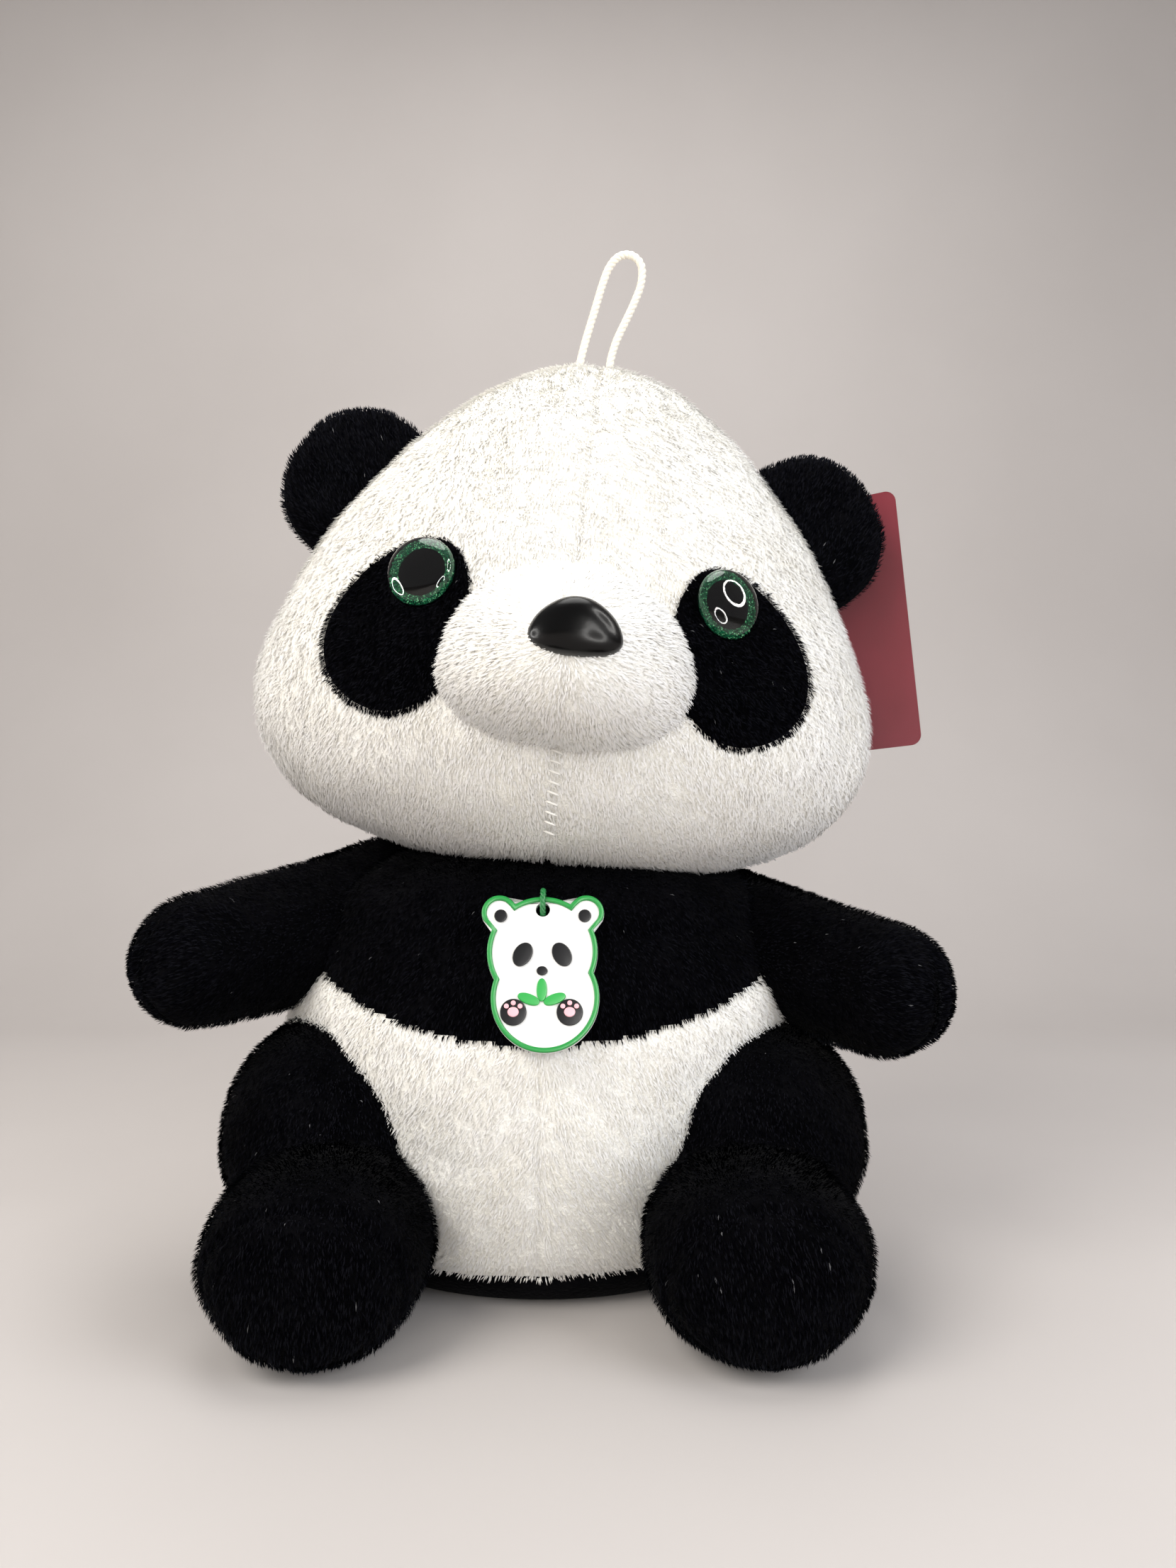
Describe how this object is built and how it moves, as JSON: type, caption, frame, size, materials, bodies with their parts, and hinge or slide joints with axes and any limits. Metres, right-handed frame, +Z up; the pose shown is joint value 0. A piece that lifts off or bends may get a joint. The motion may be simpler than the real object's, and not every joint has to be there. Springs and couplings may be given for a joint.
{
  "type": "plush panda",
  "caption": "Sitting plush panda with padded head, ears and limbs, glitter safety eyes, plastic nose, hanging loop, swing tag and a soft charm on a neck cord.",
  "frame": {"origin": "centre of the flat seat panel, on the surface that the toy sits on", "axes": "+Z up, face towards -Y, +X to the right of someone who looks at the face"},
  "size_m": [0.275, 0.2009, 0.3572],
  "materials": {
    "white_plush": "short dense pile",
    "black_plush": "short dense pile",
    "fibre_fill": "loose polyester fibre",
    "eye_lens": "clear gloss",
    "eye_glitter": "green glitter with a black pupil",
    "fixing_plastic": "plain moulded",
    "nose_plastic": "satin",
    "cream_cord": "twisted cord",
    "green_cord": "braided satin cord",
    "nylon": "clear nylon",
    "red_card": "smooth coated card",
    "white_pvc": "soft moulded",
    "green_pvc": "soft moulded",
    "black_pvc": "soft moulded",
    "pink_pvc": "soft moulded"
  },
  "bodies": {
    "torso": {"body_cover": "white_plush", "chest_band": "black_plush", "base_panel": "black_plush", "body_stuffing": "fibre_fill", "charm_cord": "green_cord"},
    "neck": {"neck_stuffing": "fibre_fill"},
    "head": {"head_cover": "white_plush", "head_stuffing": "fibre_fill", "muzzle_cover": "white_plush", "muzzle_stuffing": "fibre_fill", "eye_patch_left": "black_plush", "eye_patch_right": "black_plush", "eye_lens_left": "eye_lens", "eye_lens_right": "eye_lens", "eye_iris_left": "eye_glitter", "eye_iris_right": "eye_glitter", "eye_pin_left": "fixing_plastic", "eye_pin_right": "fixing_plastic", "eye_washer_left": "fixing_plastic", "eye_washer_right": "fixing_plastic", "nose": "nose_plastic", "nose_washer": "fixing_plastic", "hanging_loop": "cream_cord"},
    "ear_left": {"ear_left": "black_plush"},
    "ear_right": {"ear_right": "black_plush", "tag_pin": "nylon"},
    "tag": {"swing_tag": "red_card"},
    "arm_left": {"arm_left_cover": "black_plush", "arm_left_stuffing": "fibre_fill"},
    "arm_right": {"arm_right_cover": "black_plush", "arm_right_stuffing": "fibre_fill"},
    "leg_left": {"leg_left_cover": "black_plush", "leg_left_stuffing": "fibre_fill", "leg_left_sole": "black_plush"},
    "leg_right": {"leg_right_cover": "black_plush", "leg_right_stuffing": "fibre_fill", "leg_right_sole": "black_plush"},
    "tail": {"tail": "black_plush"},
    "hitch": {"charm_hitch": "green_cord"},
    "charm": {"charm_base": "white_pvc", "charm_rim": "green_pvc", "charm_black": "black_pvc", "charm_pink": "pink_pvc", "charm_leaves": "green_pvc"}
  },
  "joints": [
    {"name": "head_turn", "type": "hinge", "parent": "torso", "child": "neck", "pos_m": [0, -0.002, 0.134], "axis": [0, 0, 1], "range_deg": [-22, 22], "stiffness_Nm_per_rad": 4},
    {"name": "head_nod", "type": "hinge", "parent": "neck", "child": "head", "pos_m": [0, -0.002, 0.134], "axis": [1, 0, 0], "range_deg": [-8, 4], "stiffness_Nm_per_rad": 6},
    {"name": "ear_left_fold", "type": "hinge", "parent": "head", "child": "ear_left", "pos_m": [-0.06675, 0.00284, 0.27474], "axis": [0.656, 0.0114, 0.7547], "range_deg": [-12, 12], "stiffness_Nm_per_rad": 0.25},
    {"name": "ear_right_fold", "type": "hinge", "parent": "head", "child": "ear_right", "pos_m": [0.09434, 0.00565, 0.2578], "axis": [0.4847, 0.0085, -0.8746], "range_deg": [-1, 12], "stiffness_Nm_per_rad": 0.25},
    {"name": "tag_swing", "type": "hinge", "parent": "ear_right", "child": "tag", "pos_m": [0.11, 0.029, 0.27], "axis": [0.4226, 0.9063, 0], "range_deg": [-20, 15]},
    {"name": "arm_left_lift", "type": "hinge", "parent": "torso", "child": "arm_left", "pos_m": [-0.058, 0.01, 0.121], "axis": [-0.6947, 0.7193, 0], "range_deg": [-1, 9], "stiffness_Nm_per_rad": 1.5},
    {"name": "arm_right_lift", "type": "hinge", "parent": "torso", "child": "arm_right", "pos_m": [0.058, 0.01, 0.112], "axis": [-0.6947, -0.7193, 0], "range_deg": [-1, 8], "stiffness_Nm_per_rad": 1.5},
    {"name": "leg_left_lift", "type": "hinge", "parent": "torso", "child": "leg_left", "pos_m": [-0.07, -0.03, 0.049], "axis": [-1, 0, 0], "range_deg": [-5, 22], "stiffness_Nm_per_rad": 2.5},
    {"name": "leg_right_lift", "type": "hinge", "parent": "torso", "child": "leg_right", "pos_m": [0.07, -0.03, 0.049], "axis": [-1, 0, 0], "range_deg": [-5, 22], "stiffness_Nm_per_rad": 2.5},
    {"name": "tail_wag", "type": "hinge", "parent": "torso", "child": "tail", "pos_m": [0, 0.066, 0.038], "axis": [0, 0, 1], "range_deg": [-15, 15], "stiffness_Nm_per_rad": 0.1},
    {"name": "charm_swing", "type": "hinge", "parent": "torso", "child": "hitch", "pos_m": [0.0014, -0.0575, 0.1303], "axis": [-1, 0, 0], "range_deg": [0, 60]},
    {"name": "charm_sway", "type": "hinge", "parent": "hitch", "child": "charm", "pos_m": [0.001, -0.06222, 0.12749], "axis": [0, -0.9455, 0.3256], "range_deg": [-15, 15]}
  ]
}
